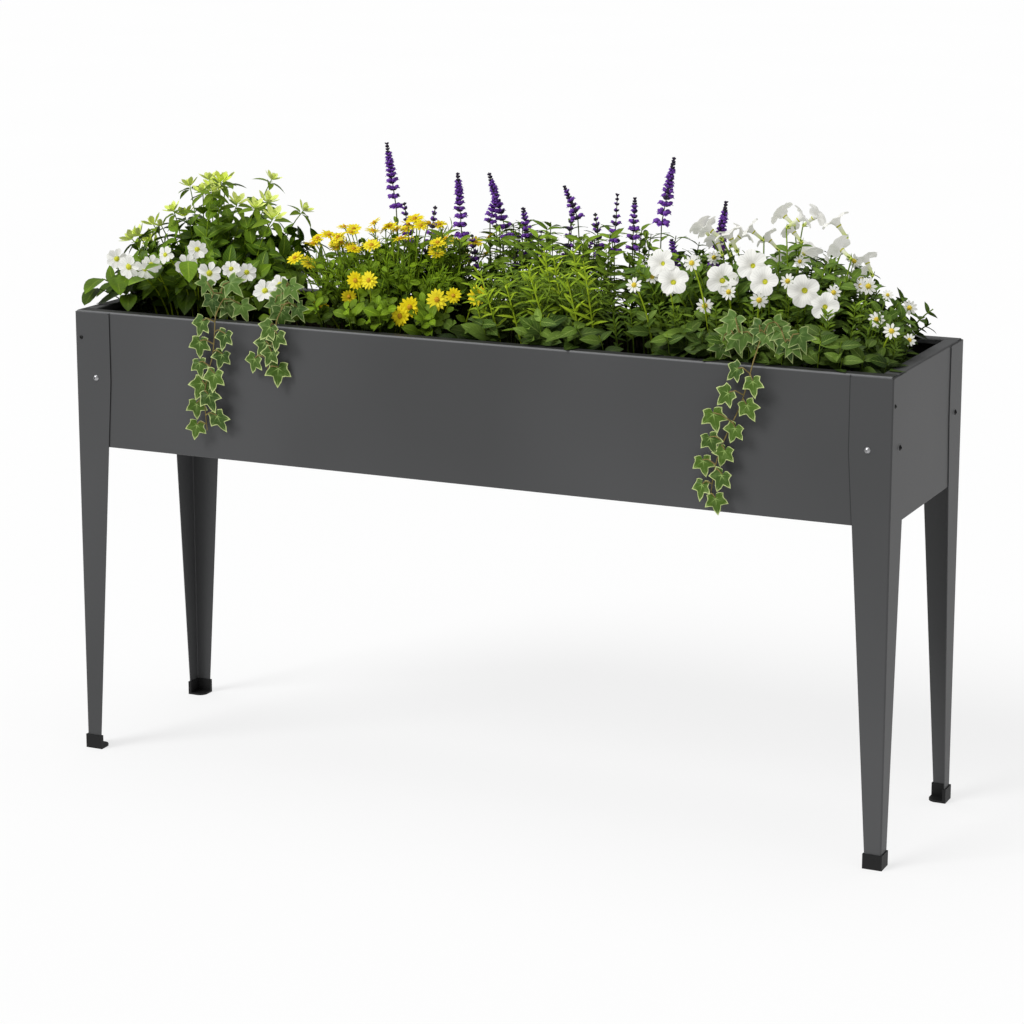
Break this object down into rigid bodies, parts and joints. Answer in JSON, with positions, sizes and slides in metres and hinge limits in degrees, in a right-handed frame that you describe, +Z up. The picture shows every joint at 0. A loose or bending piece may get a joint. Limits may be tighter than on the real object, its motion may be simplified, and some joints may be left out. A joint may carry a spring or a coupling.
{
  "type": "raised planter",
  "caption": "Raised trough planter in folded, painted steel on tapered angle legs with foot caps, filled with soil and planted with flowers and trailing ivy.",
  "frame": {"origin": "the middle of the planter's footprint, on the ground", "axes": "+X along the trough, to the right seen from the front; +Y from the front to the back; +Z up"},
  "size_m": [1.5674, 0.4527, 1.11],
  "materials": {
    "painted_steel": "satin",
    "zinc_steel": "satin",
    "bolt_steel": "gloss",
    "black_screw": "satin",
    "foot_plastic": "matte",
    "potting_soil": "matte",
    "foliage": "matte",
    "ivy_foliage": "satin",
    "stems": "matte",
    "white_petals": "matte",
    "yellow_petals": "matte",
    "purple_petals": "matte"
  },
  "bodies": {
    "root": {"front_panel": "painted_steel", "back_panel": "painted_steel", "left_end_panel": "painted_steel", "right_end_panel": "painted_steel", "floor_pan": "painted_steel", "brace_left": "zinc_steel", "brace_middle": "zinc_steel", "brace_right": "zinc_steel", "leg_front_left": "painted_steel", "leg_front_right": "painted_steel", "leg_back_right": "painted_steel", "leg_back_left": "painted_steel", "foot_front_left": "foot_plastic", "foot_front_right": "foot_plastic", "foot_back_right": "foot_plastic", "foot_back_left": "foot_plastic", "leg_bolts": "bolt_steel", "leg_nuts": "zinc_steel", "corner_screws": "black_screw", "corner_nuts": "zinc_steel", "brace_screws": "zinc_steel", "brace_nuts": "zinc_steel", "potting_soil": "potting_soil", "white_flower_bush": "foliage", "yellow_daisy_bush": "foliage", "salvia_bush": "foliage", "salvia_spikes": "purple_petals", "fine_leaf_bush": "foliage", "small_daisy_bush": "foliage", "petunia_bush": "foliage", "ivy_left": "ivy_foliage", "ivy_middle": "ivy_foliage", "ivy_right": "ivy_foliage"}
  },
  "joints": []
}
